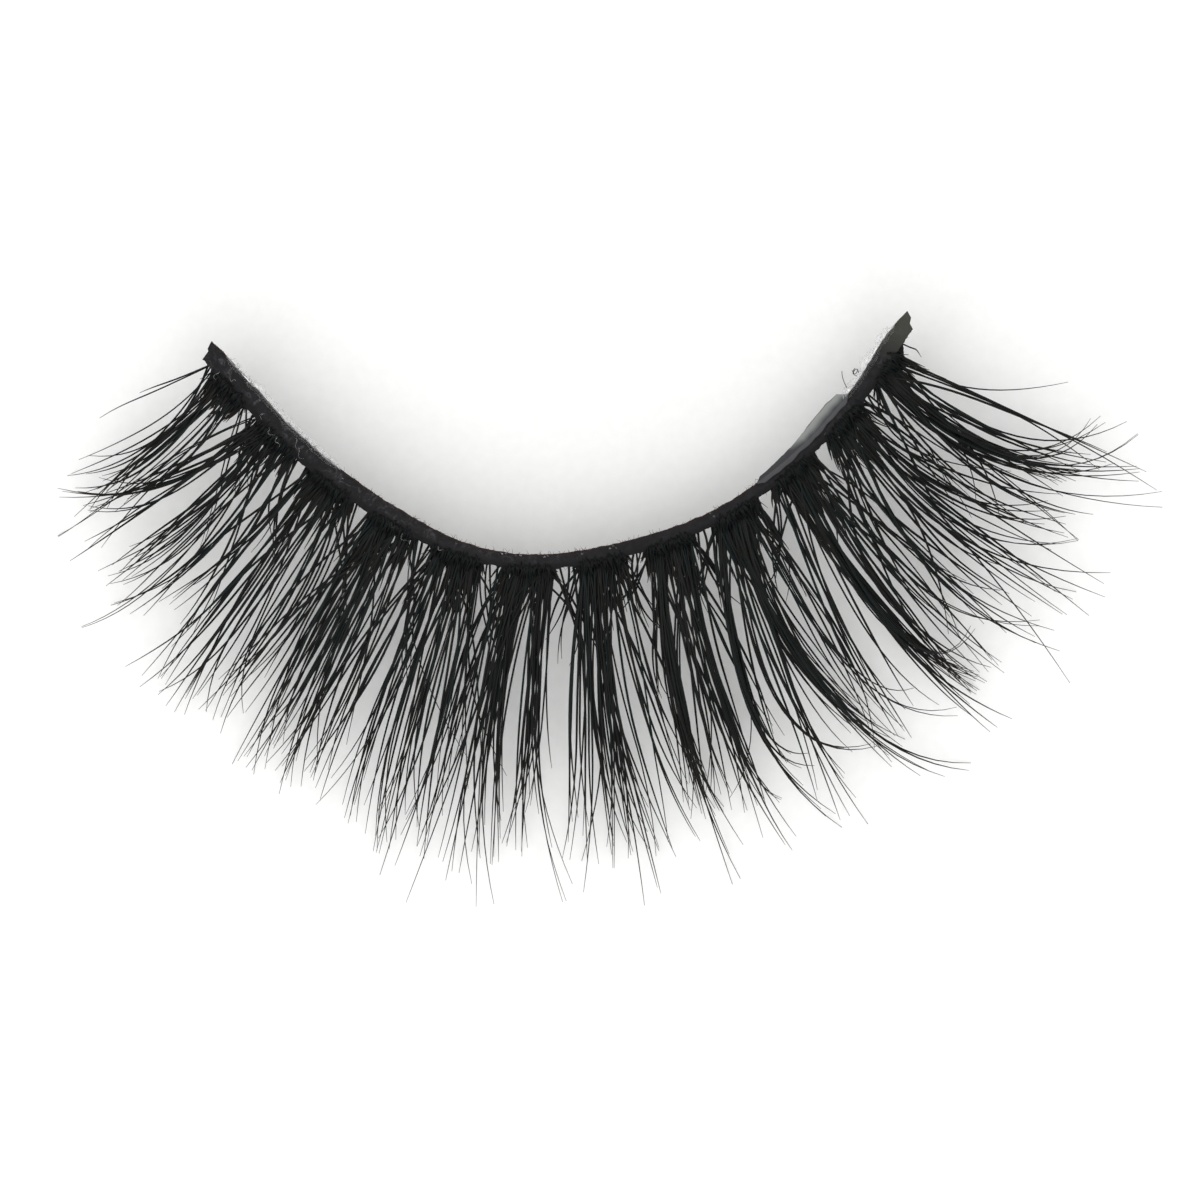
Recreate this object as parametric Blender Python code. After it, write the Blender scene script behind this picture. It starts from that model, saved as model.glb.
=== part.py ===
# A false eyelash strip: a curved black cotton band, a fringe of tapered hair clusters that
# springs from it, and two dried films of clear glue along its inner edge.
#
# The strip lies on its hair tips with the glued face of the band up. +X and +Y span the curve
# of the band, +Y runs from the tips towards the eye, and +Z points up. The inner corner of the
# eye is at -X, the outer corner at +X. All sizes are in millimetres until a mesh is made.

import math
from collections import namedtuple

import bmesh
import bpy
from mathutils import Vector

MM = 0.001

# Band
BAND_TOP = 4.0  # height of the glued face above the surface that the tips rest on
BAND_THICK = 0.26
BAND_CHAMFER = 0.06
BAND_STEP = 0.7  # spacing of the sections along the band
CURVE_STEPS = 12  # points read from the curve between two rows of its table
TANGENT_REACH = 0.25  # half the stretch over which the curve's direction is read

# Fringe
GAP = 0.06  # clearance between pieces that touch on the real strip
ROOT_STRIP_START = 0.75  # distance from each end of the band
ROOT_STRIP_INSET = 0.07  # how far the strip stays behind both edges of the band
ROOT_STRIP_THICK = 0.3
FIRST_ROOT = 1.75  # distance from the band's left end to the first cluster
LAST_ROOT = 2.12  # distance from the last cluster to the band's right end
CURL = 2.1  # power of the fall from the root to the tip
TAPER = 1.5  # power of the narrowing from the root to the tip
TIP_SHARE = 0.07  # what is left of a lock's width at its tip
ROOT_HEIGHT = 0.14  # half the thickness of a lock at its root
TIP_HEIGHT = 0.04
SWELL = 0.1  # how much thicker a lock gets halfway along
LEAN_KEPT = 0.35  # share of a side lock's lean that is left at its tip
ROOT_BLEND = 0.2  # share of a lock over which its section turns from the band to its own path
LOCK_SECTIONS = 8
LOCK_SIDES = 6

# Glue films
FILM_LIP = 0.2  # how far a film laps over the band's top
FILM_THICK = 0.07
FILM_DEPTH = 0.34  # how far down the band's inner edge a film reaches
FILM_STEP = 0.45

Point = namedtuple("Point", "x y")
Width = namedtuple("Width", "along across")
Cluster = namedtuple("Cluster", "root_heading tip_heading reach fan width")
Lock = namedtuple("Lock", "offset lean reach width tip_rise")

# The band's inner edge, which follows the eyelid, from the inner corner to the outer corner.
BAND_CURVE = (
    Point(-14.81, 9.89),
    Point(-13.51, 8.51),
    Point(-11.79, 6.64),
    Point(-9.92, 5.00),
    Point(-7.63, 3.44),
    Point(-5.11, 2.16),
    Point(-2.40, 1.72),
    Point(0.76, 2.18),
    Point(3.82, 3.17),
    Point(6.11, 4.54),
    Point(8.05, 6.22),
    Point(9.73, 8.21),
    Point(10.88, 10.04),
    Point(11.72, 11.03),
)

# Width of the band's left half at distances from that end: a ragged cut, then the woven strip.
LEFT_WIDTHS = (
    Width(0.0, 0.05),
    Width(0.1, 0.32),
    Width(0.19, 0.36),
    Width(0.26, 0.72),
    Width(0.62, 0.72),
    Width(0.9, 0.77),
    Width(6.0, 0.75),
    Width(9.0, 0.7),
    Width(12.0, 0.58),
    Width(14.0, 0.52),
)

# The same for its right half, at distances from the right end.
RIGHT_WIDTHS = (
    Width(0.0, 0.05),
    Width(0.08, 0.28),
    Width(0.28, 0.36),
    Width(0.36, 0.6),
    Width(0.65, 0.64),
    Width(1.1, 0.68),
    Width(3.2, 0.64),
    Width(5.5, 0.5),
    Width(9.0, 0.46),
    Width(14.0, 0.52),
)

# One row for each cluster, from the inner corner. Headings are in degrees from +X as seen from
# above, reach is the length seen from above, fan is how far the outer locks lean.
CLUSTERS = (
    Cluster(-127, -150, 8.2, 8, 0.9),
    Cluster(-128, -148, 9.4, 16, 1.0),
    Cluster(-125, -132, 10.6, 15, 1.0),
    Cluster(-121, -115, 11.2, 15, 1.0),
    Cluster(-112, -103, 12.2, 15, 1.0),
    Cluster(-97, -91, 12.9, 13, 1.0),
    Cluster(-90, -73, 12.0, 13, 1.05),
    Cluster(-88, -61, 13.1, 14, 1.1),
    Cluster(-77, -43, 12.4, 15, 1.1),
    Cluster(-69, -37, 12.0, 14, 1.1),
    Cluster(-60, -18, 12.0, 15, 1.05),
    Cluster(-50, -4, 12.4, 12, 0.95),
)

# The locks of each cluster: offset along the band as a share of the clusters' spacing, lean as
# a share of the fan, reach as a share of the cluster's, half width at the root, and how high
# the tip stays above the surface.
LOCKS = (
    Lock(-0.3, -1.0, 0.84, 0.22, 1.1),
    Lock(-0.15, -0.45, 0.95, 0.27, 0.45),
    Lock(0.0, 0.0, 1.0, 0.36, 0.0),
    Lock(0.15, 0.45, 0.95, 0.27, 0.45),
    Lock(0.3, 1.0, 0.84, 0.22, 1.1),
)

# How far each film stands out from the band's inner edge, at distances from the left end.
LEFT_FILM = (
    Width(1.2, 0.08),
    Width(1.7, 0.16),
    Width(2.6, 0.1),
    Width(3.4, 0.2),
    Width(4.6, 0.1),
    Width(5.6, 0.2),
    Width(6.4, 0.24),
    Width(7.0, 0.08),
)

# The same at distances from the right end.
RIGHT_FILM = (
    Width(0.7, 0.1),
    Width(1.1, 0.22),
    Width(1.8, 0.18),
    Width(2.5, 0.32),
    Width(3.1, 0.14),
    Width(3.9, 0.24),
    Width(4.7, 0.38),
    Width(5.6, 0.36),
    Width(6.6, 0.24),
    Width(8.0, 0.14),
    Width(8.8, 0.08),
)

# Colours are linear red, green and blue.
FINISHES = {
    "black_cotton": {"colour": (0.014, 0.014, 0.015), "roughness": 0.85, "alpha": 1.0},
    "lash_fibre": {"colour": (0.010, 0.010, 0.011), "roughness": 0.42, "alpha": 1.0},
    "dried_glue": {"colour": (0.42, 0.42, 0.40), "roughness": 0.12, "alpha": 0.45},
}


def clear_scene():
    for thing in list(bpy.data.objects):
        bpy.data.objects.remove(thing, do_unlink=True)


def make_material(name):
    finish = FINISHES[name]
    material = bpy.data.materials.new(name)
    material.use_nodes = True
    shader = material.node_tree.nodes["Principled BSDF"]
    shader.inputs["Base Color"].default_value = (*finish["colour"], 1.0)
    shader.inputs["Roughness"].default_value = finish["roughness"]
    shader.inputs["Metallic"].default_value = 0.0
    shader.inputs["Alpha"].default_value = finish["alpha"]
    return material


def curve_point(before, start, end, after, share):
    """A point of the smooth curve between start and end, which leans on the rows beside them."""
    slope = end - before
    bend = 2 * before - 5 * start + 4 * end - after
    twist = 3 * start - before - 3 * end + after
    return 0.5 * (2 * start + slope * share + bend * share**2 + twist * share**3)


def sample_edge():
    """The inner edge as closely spaced points with their distances from the left end."""
    rows = [Vector(row) for row in BAND_CURVE]
    rows = [2 * rows[0] - rows[1], *rows, 2 * rows[-1] - rows[-2]]
    points = []
    for i in range(1, len(rows) - 2):
        for k in range(CURVE_STEPS):
            points.append(curve_point(*rows[i - 1 : i + 3], k / CURVE_STEPS))
    points.append(rows[-2])
    distances = [0.0]
    for start, end in zip(points, points[1:]):
        distances.append(distances[-1] + (end - start).length)
    return points, distances


EDGE_POINTS, EDGE_DISTANCES = sample_edge()
BAND_LENGTH = EDGE_DISTANCES[-1]
ROOT_PITCH = (BAND_LENGTH - FIRST_ROOT - LAST_ROOT) / (len(CLUSTERS) - 1)


def edge_point(along):
    """The inner edge at a distance from the left end."""
    along = min(max(along, 0.0), BAND_LENGTH)
    i = 0
    while i < len(EDGE_POINTS) - 2 and EDGE_DISTANCES[i + 1] < along:
        i += 1
    share = (along - EDGE_DISTANCES[i]) / (EDGE_DISTANCES[i + 1] - EDGE_DISTANCES[i])
    return EDGE_POINTS[i].lerp(EDGE_POINTS[i + 1], share)


def edge_frame(along):
    """The inner edge's point, its direction and the outward direction, towards the hair."""
    ahead = edge_point(along + TANGENT_REACH) - edge_point(along - TANGENT_REACH)
    ahead.normalize()
    return edge_point(along), ahead, Vector((ahead.y, -ahead.x))


def read_table(rows, along):
    """A table's value at a distance, straight between rows and level past its ends."""
    if along <= rows[0].along:
        return rows[0].across
    for low, high in zip(rows, rows[1:]):
        if along <= high.along:
            share = (along - low.along) / (high.along - low.along)
            return low.across + share * (high.across - low.across)
    return rows[-1].across


def band_width(along):
    if along < BAND_LENGTH / 2:
        return read_table(LEFT_WIDTHS, along)
    return read_table(RIGHT_WIDTHS, BAND_LENGTH - along)


def stations(start, end, step, *extra):
    """Distances along the band at an even step, with the extra ones that lie between."""
    count = round((end - start) / step)
    even = [start + (end - start) * k / count for k in range(count + 1)]
    between = [value for value in extra if start < value < end]
    spread = [value for value in even if all(abs(value - other) > step / 3 for other in between)]
    return sorted({start, end, *between, *spread})


def sweep_ring(along, profile):
    """A section across the band: profile holds (distance outward, height) pairs."""
    point, _, outward = edge_frame(along)
    return [Vector((*(point + outward * across), height)) for across, height in profile]


def add_loft(mesh, rings):
    """Joins closed rings of equal length into a skin, with a face at each end."""
    rows = [[mesh.verts.new(point * MM) for point in ring] for ring in rings]
    count = len(rows[0])
    for row, following in zip(rows, rows[1:]):
        for k in range(count):
            corner = (k + 1) % count
            mesh.faces.new((row[k], row[corner], following[corner], following[k]))
    mesh.faces.new(rows[0])
    mesh.faces.new(rows[-1])


def make_object(name, lofts, material):
    """One object from a list of lofts, each a list of rings."""
    mesh = bmesh.new()
    for rings in lofts:
        add_loft(mesh, rings)
    bmesh.ops.recalc_face_normals(mesh, faces=mesh.faces)
    data = bpy.data.meshes.new(name)
    mesh.to_mesh(data)
    mesh.free()
    if material is not None:
        data.materials.append(material)
    made = bpy.data.objects.new(name, data)
    bpy.context.scene.collection.objects.link(made)
    return made


def band_profile(width):
    """An eight-sided section: a flat strip with its long edges chamfered."""
    low, high = BAND_TOP - BAND_THICK, BAND_TOP
    cut = min(BAND_CHAMFER, 0.3 * width)
    return (
        (0.0, low + cut),
        (0.0, high - cut),
        (cut, high),
        (width - cut, high),
        (width, high - cut),
        (width, low + cut),
        (width - cut, low),
        (cut, low),
    )


def make_band(material):
    steps = [row.along for row in LEFT_WIDTHS]
    steps += [BAND_LENGTH - row.along for row in RIGHT_WIDTHS]
    rings = []
    for along in stations(0.0, BAND_LENGTH, BAND_STEP, *steps):
        rings.append(sweep_ring(along, band_profile(band_width(along))))
    return make_object("band", [rings], material)


def root_strip():
    """The thin strip under the band that carries every lock."""
    high = BAND_TOP - BAND_THICK - GAP
    low = high - ROOT_STRIP_THICK
    end = BAND_LENGTH - ROOT_STRIP_START
    rings = []
    for along in stations(ROOT_STRIP_START, end, BAND_STEP):
        near = ROOT_STRIP_INSET
        far = band_width(along) - ROOT_STRIP_INSET
        rings.append(sweep_ring(along, ((near, low), (near, high), (far, high), (far, low))))
    return rings


def lock_ring(centre, side, heading, fall, half_width, half_height):
    """A flattened section square to the lock's path."""
    level = math.sqrt(1 + fall**2)
    upward = Vector((fall * math.cos(heading), fall * math.sin(heading), 1.0)) / level
    ring = []
    for k in range(LOCK_SIDES):
        angle = 2 * math.pi * k / LOCK_SIDES
        ring.append(
            centre
            + side * half_width * math.cos(angle)
            + upward * half_height * math.sin(angle)
        )
    return ring


def lock_rings(root_along, cluster, lock):
    """The sections of one lock, from inside the root strip to its tip."""
    along = root_along + lock.offset * ROOT_PITCH
    point, ahead, outward = edge_frame(along)
    place = point + outward * band_width(along) / 2
    turn = math.radians(cluster.tip_heading - cluster.root_heading)
    lean = math.radians(lock.lean * cluster.fan)
    reach = cluster.reach * lock.reach
    root_height = BAND_TOP - BAND_THICK - GAP - ROOT_STRIP_THICK / 2
    drop = root_height - TIP_HEIGHT - lock.tip_rise
    rings = []
    for k in range(LOCK_SECTIONS + 1):
        share = k / LOCK_SECTIONS
        lean_here = lean * (1 - (1 - LEAN_KEPT) * share)
        heading = math.radians(cluster.root_heading) + turn * share + lean_here
        own_side = Vector((-math.sin(heading), math.cos(heading)))
        side = ahead.lerp(own_side, min(1.0, share / ROOT_BLEND)).normalized()
        fall = CURL * drop * share ** (CURL - 1) / reach
        height = root_height - drop * share**CURL
        left = 1 - share**TAPER
        half_width = lock.width * cluster.width * (TIP_SHARE + (1 - TIP_SHARE) * left)
        half_height = TIP_HEIGHT + (ROOT_HEIGHT - TIP_HEIGHT) * left
        half_height += SWELL * math.sin(math.pi * share)
        centre = Vector((*place, height))
        rings.append(
            lock_ring(centre, side.to_3d(), heading, fall, half_width, half_height)
        )
        place = place + Vector((math.cos(heading), math.sin(heading))) * reach / LOCK_SECTIONS
    return rings


def all_locks():
    lofts = []
    for i, cluster in enumerate(CLUSTERS):
        for lock in LOCKS:
            lofts.append(lock_rings(FIRST_ROOT + i * ROOT_PITCH, cluster, lock))
    return lofts


def make_fringe(material):
    """The root strip with every lock joined to it by a union."""
    fringe = make_object("lash_fringe", [root_strip()], material)
    locks = make_object("lock_shapes", all_locks(), material)
    locks.hide_render = True
    locks.display_type = "WIRE"
    union = fringe.modifiers.new("fuse_locks", "BOOLEAN")
    union.operation = "UNION"
    union.object = locks
    union.solver = "EXACT"
    union.use_self = True
    return fringe, locks


def film_profile(reach):
    """A bent section: a lip on the band's top and a thin flake in front of its inner edge."""
    under = BAND_TOP + GAP
    over = under + FILM_THICK
    low = BAND_TOP - FILM_DEPTH
    return (
        (FILM_LIP, under),
        (-GAP, under),
        (-GAP, low),
        (-GAP - FILM_THICK, low),
        (-GAP - reach, 0.5 * (low + over)),
        (-GAP - FILM_THICK, over),
        (FILM_LIP, over),
    )


def make_film(name, rows, from_right, material):
    start, end = rows[0].along, rows[-1].along
    rings = []
    for distance in stations(start, end, FILM_STEP, *(row.along for row in rows)):
        along = BAND_LENGTH - distance if from_right else distance
        rings.append(sweep_ring(along, film_profile(read_table(rows, distance))))
    return make_object(name, [rings], material)


def centre_on_origin(pieces):
    """Hangs the pieces on an empty that puts the middle of their base at the origin."""
    points = [vertex.co for piece in pieces for vertex in piece.data.vertices]
    low = Vector([min(point[k] for point in points) for k in range(3)])
    high = Vector([max(point[k] for point in points) for k in range(3)])
    holder = bpy.data.objects.new("strip_origin", None)
    bpy.context.scene.collection.objects.link(holder)
    for piece in pieces:
        piece.parent = holder
    holder.location = (-(low.x + high.x) / 2, -(low.y + high.y) / 2, -low.z)


def main():
    clear_scene()
    cotton, fibre, glue = (make_material(name) for name in FINISHES)
    band = make_band(cotton)
    fringe, locks = make_fringe(fibre)
    left_film = make_film("glue_film_left", LEFT_FILM, False, glue)
    right_film = make_film("glue_film_right", RIGHT_FILM, True, glue)
    centre_on_origin([band, fringe, locks, left_film, right_film])


main()
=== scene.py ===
import math
import random
from collections import namedtuple

import bpy
import numpy as np
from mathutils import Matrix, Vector, noise


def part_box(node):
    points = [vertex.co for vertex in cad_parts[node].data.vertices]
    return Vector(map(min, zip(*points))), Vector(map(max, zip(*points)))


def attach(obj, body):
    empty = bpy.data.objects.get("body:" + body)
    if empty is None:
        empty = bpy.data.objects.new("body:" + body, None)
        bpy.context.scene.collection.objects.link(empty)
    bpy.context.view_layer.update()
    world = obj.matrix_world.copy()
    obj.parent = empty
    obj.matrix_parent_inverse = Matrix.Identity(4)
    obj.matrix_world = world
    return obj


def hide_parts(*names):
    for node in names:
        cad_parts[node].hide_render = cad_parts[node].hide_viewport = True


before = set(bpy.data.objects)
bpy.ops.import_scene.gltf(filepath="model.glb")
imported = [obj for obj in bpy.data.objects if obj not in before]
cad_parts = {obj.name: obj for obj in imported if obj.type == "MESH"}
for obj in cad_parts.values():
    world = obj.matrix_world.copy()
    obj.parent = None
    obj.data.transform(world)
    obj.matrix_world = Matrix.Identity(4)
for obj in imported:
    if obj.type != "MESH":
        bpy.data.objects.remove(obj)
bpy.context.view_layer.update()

mm = 0.001
photo = {"pixels": 1200, "pixelsPerMm": 26.2}  # the picture's frame and the scale of the band in it

# Band outline, repeated from the solids: millimetres, with the origin in the picture's middle.
bandShape = {
    "curve": [
        (-14.81, 9.89), (-13.51, 8.51), (-11.79, 6.64), (-9.92, 5.00), (-7.63, 3.44),
        (-5.11, 2.16), (-2.40, 1.72), (0.76, 2.18), (3.82, 3.17), (6.11, 4.54),
        (8.05, 6.22), (9.73, 8.21), (10.88, 10.04), (11.72, 11.03),
    ],
    "leftWidths": [  # the width at distances from the band's own end, and the same on the right
        (0.0, 0.05), (0.1, 0.32), (0.19, 0.36), (0.26, 0.72),
        (0.62, 0.72), (0.9, 0.77), (6.0, 0.75), (9.0, 0.7),
        (12.0, 0.58), (14.0, 0.52),
    ],
    "rightWidths": [
        (0.0, 0.05), (0.08, 0.28), (0.28, 0.36), (0.36, 0.6),
        (0.65, 0.64), (1.1, 0.68), (3.2, 0.64), (5.5, 0.5),
        (9.0, 0.46), (14.0, 0.52),
    ],
    "stepsPerSpan": 24,
    "tangentReach": 0.25,  # half the stretch over which the curve's direction is read
    "thick": 0.26,
}

def sampleEdge():  # the inner edge as close points, with their distance from the left end
    rows = [np.array(p) for p in bandShape["curve"]]
    rows = [2 * rows[0] - rows[1], *rows, 2 * rows[-1] - rows[-2]]
    points = []
    for i in range(1, len(rows) - 2):
        before, start, end, after = rows[i - 1 : i + 3]
        for k in range(bandShape["stepsPerSpan"]):
            t = k / bandShape["stepsPerSpan"]
            bend = 2 * before - 5 * start + 4 * end - after
            twist = 3 * start - before - 3 * end + after
            points.append(0.5 * (2 * start + (end - before) * t + bend * t**2 + twist * t**3))
    points.append(rows[-2])
    points = np.array(points)
    steps = np.linalg.norm(np.diff(points, axis=0), axis=1)
    return points, np.concatenate([[0.0], np.cumsum(steps)])

edgePoints, edgeDistances = sampleEdge()
bandLength = edgeDistances[-1]

def edgePoint(along):
    return np.array([np.interp(along, edgeDistances, edgePoints[:, k]) for k in (0, 1)])

def edgeFrame(along):  # point, direction along the band, direction outward to the hair
    reach = bandShape["tangentReach"]
    ahead = edgePoint(along + reach) - edgePoint(along - reach)
    ahead /= np.linalg.norm(ahead)
    return edgePoint(along), ahead, np.array([ahead[1], -ahead[0]])

def readRows(rows, place):  # a short table's value at a place, straight between its rows
    places, values = zip(*rows)
    return float(np.interp(place, places, values))

def bandWidth(along):
    if along < bandLength / 2:
        return readRows(bandShape["leftWidths"], along)
    return readRows(bandShape["rightWidths"], bandLength - along)

def bandSpot(along, across):  # a place on the band as seen from above
    point, _, outward = edgeFrame(along)
    return point + outward * across

# The frame's band gives the shift from the picture's middle to the object's own origin.
bandLow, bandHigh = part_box("band")
leftEnd = np.linspace(0, 2, 201)  # the stretch of the band that reaches furthest to the left
leftmost = min(bandSpot(s, a)[0] for s in leftEnd for a in (0.0, bandWidth(s)))
shift = np.array([leftmost - bandLow.x / mm, bandShape["curve"][-1][1] - bandHigh.y / mm])
bandTop = bandHigh.z / mm
bandUnder = bandTop - bandShape["thick"]
print("band length %.2f mm, shift %.3f %.3f mm" % (bandLength, *shift))

# General helpers
def hexColour(text):  # sRGB hex to linear
    parts = [int(text[i : i + 2], 16) / 255 for i in (1, 3, 5)]
    return tuple(p / 12.92 if p <= 0.04045 else ((p + 0.055) / 1.055) ** 2.4 for p in parts) + (1.0,)

def perMetre(sizeMm):  # a pattern's scale from its real size
    return 1 / (sizeMm * mm)

# values are numbers or hex colours, links are nodes or the names of numbers kept on a piece's points
def setNode(tree, node, values=None, links=None):
    for key, value in (values or {}).items():
        node.inputs[key].default_value = hexColour(value) if isinstance(value, str) else value
    for key, source in (links or {}).items():
        if isinstance(source, str):
            output = addNode(tree, "Attribute", attribute_name=source).outputs["Fac"]
        else:
            output = next(o for o in source.outputs if o.enabled)
        tree.links.new(output, node.inputs[key])

def addNode(tree, kind, values=None, links=None, **settings):
    made = tree.nodes.new("ShaderNode" + kind)
    for key, value in settings.items():
        setattr(made, key, value)
    setNode(tree, made, values, links)
    return made

def setRamp(ramp, stops):
    band = ramp.color_ramp
    while len(band.elements) < len(stops):
        band.elements.new(0.5)
    for element, (place, colour) in zip(band.elements, stops):
        element.position = place
        element.color = hexColour(colour) if isinstance(colour, str) else (colour, colour, colour, 1.0)

def newMaterial(name):
    material = bpy.data.materials.new(name)
    material.use_nodes = True
    return material, material.node_tree, material.node_tree.nodes["Principled BSDF"]

# points are millimetres in the picture's frame, values are numbers kept on each point
def makePiece(name, points, faces, material, nodes, values=None):
    data = bpy.data.meshes.new(name)
    placed = np.array(points, float)
    placed[:, :2] -= shift
    data.from_pydata((placed * mm).tolist(), [], faces)
    data.validate()
    for key, numbers in (values or {}).items():
        kept = data.attributes.new(key, "FLOAT", "POINT").data
        kept.foreach_set("value", np.array(numbers, np.float32))
    data.shade_smooth()
    data.materials.append(material)
    piece = bpy.data.objects.new(name, data)
    bpy.context.scene.collection.objects.link(piece)
    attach(piece, "root")
    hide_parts(*nodes)

def tubeFaces(rings, sides, first):
    faces = []
    for r in range(rings - 1):
        a = first + r * sides
        for k in range(sides):
            n = (k + 1) % sides
            faces.append((a + k, a + n, a + sides + n, a + sides + k))
    faces.append(tuple(first + k for k in reversed(range(sides))))
    faces.append(tuple(first + (rings - 1) * sides + k for k in range(sides)))
    return faces

def tubePoints(path, radii, sides):  # path is an array of 3-D points
    tangents = np.gradient(path, axis=0)
    tangents /= np.linalg.norm(tangents, axis=1)[:, None]
    side = np.stack([-tangents[:, 1], tangents[:, 0], np.zeros(len(path))], axis=1)
    side /= np.maximum(np.linalg.norm(side, axis=1), 1e-6)[:, None]
    up = np.cross(tangents, side)
    angles = 2 * np.pi * np.arange(sides) / sides
    ring = side[:, None, :] * np.cos(angles)[None, :, None]
    ring += up[:, None, :] * np.sin(angles)[None, :, None]
    return (path[:, None, :] + ring * np.asarray(radii)[:, None, None]).reshape(-1, 3)

def bundleTubes(tubes, sides):  # tubes are pairs of a path and its radii, all with as many rings
    rings = len(tubes[0][0])
    faces = []
    for k in range(len(tubes)):
        faces += tubeFaces(rings, sides, k * rings * sides)
    return np.vstack([tubePoints(path, radii, sides) for path, radii in tubes]), faces

def throughPoints(t, start, middle, end):  # a bend through three points, and its weights at t
    weights = [(1 - t) * (1 - 2 * t), 4 * t * (1 - t), t * (2 * t - 1)]
    return sum(w[:, None] * spot for w, spot in zip(weights, (start, middle, end))), weights

def fromPicture(spot):  # a place read in the picture, as millimetres at the band's height
    half = photo["pixels"] / 2
    return np.array([spot[0] - half, half - spot[1]]) / photo["pixelsPerMm"]

# Camera and light come first
cameraSetup = {
    "distance": 600.0,  # above the band, millimetres, like a long macro lens
    "sensor": 36.0,
    "clipMetres": (0.01, 10.0),
}

def makeCamera():
    setup = cameraSetup
    data = bpy.data.cameras.new("camera")
    data.sensor_width = setup["sensor"]
    data.lens = setup["sensor"] * setup["distance"] / (photo["pixels"] / photo["pixelsPerMm"])
    data.clip_start, data.clip_end = setup["clipMetres"]
    camera = bpy.data.objects.new("camera", data)
    camera.location = (-shift[0] * mm, -shift[1] * mm, (bandTop + setup["distance"]) * mm)
    bpy.context.scene.collection.objects.link(camera)
    bpy.context.scene.camera = camera
    bpy.context.scene.view_settings.view_transform = "Standard"  # white paper has to reach white

lightSetup = {
    "dome": 0.86,  # an even white light tent
    "frontBox": {"place": (-0.12, -0.3, 0.85), "side": 1.0, "watts": 5.0},  # metres
}

def makeLight():
    world = bpy.data.worlds.new("light_tent")
    world.use_nodes = True
    background = world.node_tree.nodes["Background"]
    background.inputs["Color"].default_value = hexColour("#ffffff")
    background.inputs["Strength"].default_value = lightSetup["dome"]
    bpy.context.scene.world = world
    box = lightSetup["frontBox"]
    data = bpy.data.lights.new("front_box", "AREA")
    data.size = box["side"]
    data.energy = box["watts"]
    light = bpy.data.objects.new("front_box", data)
    light.location = box["place"]
    light.rotation_euler = (-Vector(box["place"])).to_track_quat("-Z", "Y").to_euler()
    light.visible_camera = False
    bpy.context.scene.collection.objects.link(light)

makeCamera()
makeLight()
print("camera and light are set")

# White coated card: even and matt, with a faint tooth that only a raking light shows
cardLook = {"low": "#efefee", "high": "#f2f2f1", "toothMm": 0.4, "halfSideMetres": 1.5}

def whiteCard():
    look = cardLook
    material, tree, shader = newMaterial("white_coated_card")
    place = addNode(tree, "NewGeometry")
    tooth = addNode(tree, "TexNoise", {"Scale": perMetre(look["toothMm"]), "Detail": 3.0}, {"Vector": place})
    tone = addNode(tree, "ValToRGB", links={"Fac": tooth})
    setRamp(tone, [(0.3, look["low"]), (0.7, look["high"])])
    relief = addNode(tree, "Bump", {"Strength": 0.05, "Distance": 0.01 * mm}, {"Height": tooth})
    links = {"Base Color": tone, "Normal": relief}
    setNode(tree, shader, {"Roughness": 0.9, "Specular IOR Level": 0.1}, links)
    return material

def makeFloor():
    half = cardLook["halfSideMetres"]
    corners = [(-half, -half, 0), (half, -half, 0), (half, half, 0), (-half, half, 0)]
    data = bpy.data.meshes.new("card")
    data.from_pydata(corners, [], [(0, 1, 2, 3)])
    data.materials.append(whiteCard())
    floor = bpy.data.objects.new("card", data)
    bpy.context.scene.collection.objects.link(floor)

makeFloor()
print("floor is laid")

# Black cotton tape, woven from fine thread and stiffened with glue: matt charcoal with a soft
# broken grain, greyer where the glue soaked in, rusty where the dye thins out along the cut edge,
# inked where the roots are tied in, and olive grey at the end that lost its dye.
cottonLook = {
    "body": "#0f0f11", "pale": "#212123", "soaked": "#4b4b4d", "rust": "#3a201a", "bare": "#40403a",
    "dyed": "#0a0b0d",
    "mottleMm": 1 / 4.2,
    "stainMm": 1 / 2.3,
    "fibreMm": 1 / 14,
}

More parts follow.
